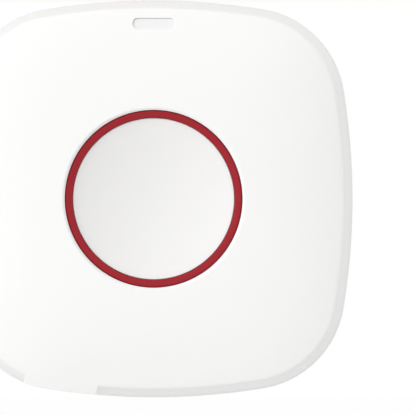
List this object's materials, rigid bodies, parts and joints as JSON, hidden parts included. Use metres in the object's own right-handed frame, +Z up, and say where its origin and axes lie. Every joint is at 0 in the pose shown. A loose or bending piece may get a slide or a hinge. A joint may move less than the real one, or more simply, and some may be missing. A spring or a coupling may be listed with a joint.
{
  "type": "wireless panic button",
  "caption": "Wall-mounted alarm button: rounded square white housing, dished round push button with a red trim ring, indicator window and a hook-on rear panel.",
  "frame": {"origin": "centre of the rear panel's back face, on the wall plane", "axes": "+Y into the wall, so the front faces -Y; +Z up the wall; +X to the right as seen from the front"},
  "size_m": [0.075, 0.0255, 0.075],
  "materials": {
    "panel_plastic": "fine moulded texture",
    "housing_plastic": "satin moulded",
    "button_plastic": "satin moulded",
    "ring_plastic": "moulded in colour, semi-gloss",
    "window_plastic": "diffusing, smooth",
    "lamp_plastic": "clear resin",
    "board_laminate": "solder mask",
    "screw_steel": "zinc plated",
    "spring_steel": "drawn wire",
    "switch_plastic": "moulded",
    "switch_metal": "stamped",
    "stem_plastic": "moulded",
    "lead_metal": "tinned",
    "cell_steel": "nickel plated can",
    "holder_plastic": "moulded",
    "contact_metal": "nickel over bronze",
    "pin_plastic": "moulded",
    "shield_metal": "tinned sheet",
    "package_resin": "moulded resin",
    "crystal_metal": "plated can",
    "capacitor_ceramic": "fired ceramic",
    "antenna_metal": "plated strip"
  },
  "bodies": {
    "rear": {"rear_panel": "panel_plastic"},
    "front": {"front_cover": "housing_plastic", "trim_ring": "ring_plastic", "return_spring": "spring_steel", "indicator_window": "window_plastic", "indicator_lamp": "lamp_plastic", "circuit_board": "board_laminate", "board_screws": "screw_steel", "switch_base": "switch_plastic", "switch_cover": "switch_metal", "switch_leads": "lead_metal", "coin_cell": "cell_steel", "battery_holder": "holder_plastic", "side_contact": "contact_metal", "base_contact": "contact_metal", "tamper_base": "switch_plastic", "radio_shield": "shield_metal", "processor_chip": "package_resin", "crystal_can": "crystal_metal", "board_capacitors": "capacitor_ceramic", "board_resistors": "package_resin", "antenna_strip": "antenna_metal"},
    "button": {"button_cap": "button_plastic"},
    "stem": {"switch_stem": "stem_plastic"},
    "tamper_pin": {"tamper_plunger": "pin_plastic"}
  },
  "joints": [
    {"name": "cover_swing", "type": "hinge", "parent": "rear", "child": "front", "pos_m": [0, -0.006, 0.037], "axis": [-1, 0, 0], "range_deg": [0, 35]},
    {"name": "button_press", "type": "slide", "parent": "front", "child": "button", "axis": [0, 1, 0], "range_m": [0, 0.001], "stiffness_N_per_m": 2000, "springref_m": -0.0005, "deforming": ["return_spring"]},
    {"name": "stem_press", "type": "slide", "parent": "front", "child": "stem", "axis": [0, 1, 0], "range_m": [0, 0.001]},
    {"name": "tamper_release", "type": "slide", "parent": "front", "child": "tamper_pin", "axis": [0, 1, 0], "range_m": [0, 0.0015]}
  ],
  "couplings": [
    {"joint": "stem_press", "follows": "button_press", "ratio": 1},
    {"joint": "tamper_release", "follows": "cover_swing", "m_per_rad": 0.002455}
  ]
}
